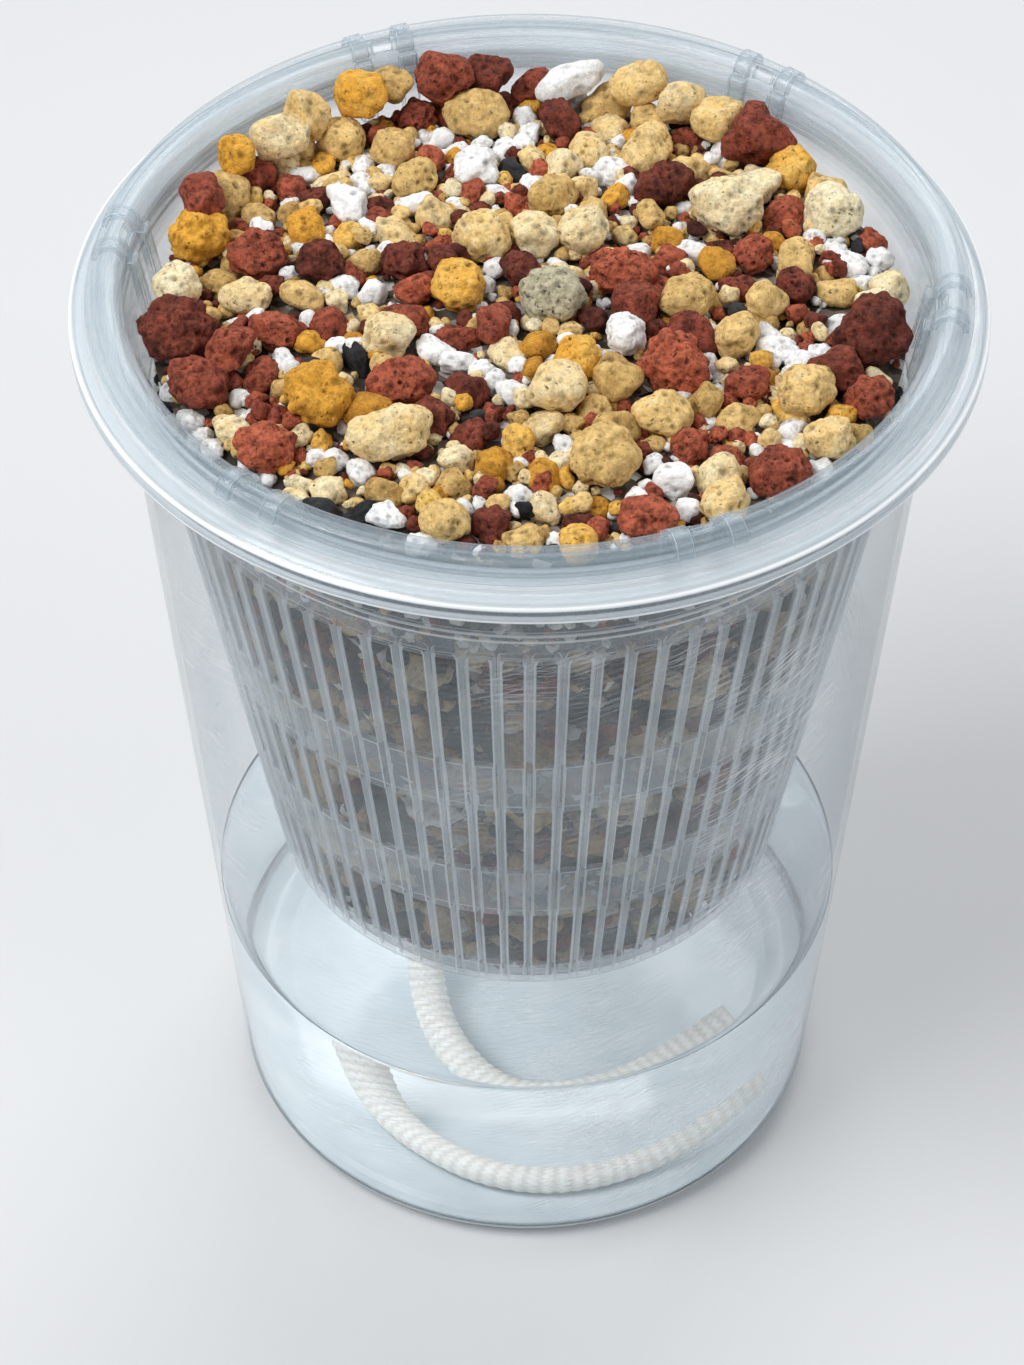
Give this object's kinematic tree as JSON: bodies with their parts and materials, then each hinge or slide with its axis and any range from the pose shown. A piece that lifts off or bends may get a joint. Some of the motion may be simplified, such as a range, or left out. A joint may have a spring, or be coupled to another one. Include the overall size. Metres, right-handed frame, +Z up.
{
  "type": "self-watering pot",
  "caption": "Clear tapered cup as a water reservoir, with a slotted net cup hung in its mouth, a wick down into the water and potting mix topped with loose stones.",
  "frame": {"origin": "centre of the reservoir's foot, on the surface it stands on", "axes": "+Z up along the pot's axis; -Y towards the picture's camera; +X to the right in the picture"},
  "size_m": [0.117, 0.117, 0.1495],
  "materials": {
    "clear_plastic": "clear polypropylene, slightly hazy, fine scratches",
    "water": "still clear water",
    "potting_mix": "loose gritty mix of bark, pumice and perlite",
    "wick": "white braided cord",
    "red_lava": "rough pitted red-brown lava",
    "tan_pumice": "matt tan pumice",
    "ochre_pumice": "matt ochre pumice",
    "grey_gravel": "matt grey gravel",
    "white_perlite": "matt white perlite"
  },
  "bodies": {
    "reservoir": {"reservoir_cup": "clear_plastic", "water": "water"},
    "insert": {"grey_gravel_01": "grey_gravel", "net_cup": "clear_plastic", "ochre_pumice_01": "ochre_pumice", "ochre_pumice_02": "ochre_pumice", "ochre_pumice_03": "ochre_pumice", "ochre_pumice_04": "ochre_pumice", "ochre_pumice_05": "ochre_pumice", "ochre_pumice_06": "ochre_pumice", "potting_mix": "potting_mix", "red_lava_01": "red_lava", "red_lava_02": "red_lava", "red_lava_03": "red_lava", "red_lava_04": "red_lava", "red_lava_05": "red_lava", "red_lava_06": "red_lava", "red_lava_07": "red_lava", "red_lava_08": "red_lava", "red_lava_09": "red_lava", "red_lava_10": "red_lava", "red_lava_11": "red_lava", "red_lava_12": "red_lava", "red_lava_13": "red_lava", "red_lava_14": "red_lava", "red_lava_15": "red_lava", "red_lava_16": "red_lava", "red_lava_17": "red_lava", "red_lava_18": "red_lava", "red_lava_19": "red_lava", "red_lava_20": "red_lava", "tan_pumice_01": "tan_pumice", "tan_pumice_02": "tan_pumice", "tan_pumice_03": "tan_pumice", "tan_pumice_04": "tan_pumice", "tan_pumice_05": "tan_pumice", "tan_pumice_06": "tan_pumice", "tan_pumice_07": "tan_pumice", "tan_pumice_08": "tan_pumice", "tan_pumice_09": "tan_pumice", "tan_pumice_10": "tan_pumice", "tan_pumice_11": "tan_pumice", "tan_pumice_12": "tan_pumice", "tan_pumice_13": "tan_pumice", "tan_pumice_14": "tan_pumice", "tan_pumice_15": "tan_pumice", "tan_pumice_16": "tan_pumice", "tan_pumice_17": "tan_pumice", "tan_pumice_18": "tan_pumice", "tan_pumice_19": "tan_pumice", "tan_pumice_20": "tan_pumice", "tan_pumice_21": "tan_pumice", "tan_pumice_22": "tan_pumice", "tan_pumice_23": "tan_pumice", "white_perlite_01": "white_perlite", "white_perlite_02": "white_perlite", "wick_core": "wick", "wick_tail": "wick"}
  },
  "joints": [
    {"name": "net_cup_lift", "type": "slide", "parent": "reservoir", "child": "insert", "axis": [0, 0, 1], "range_m": [0, 0.15], "deforming": ["water"]}
  ]
}
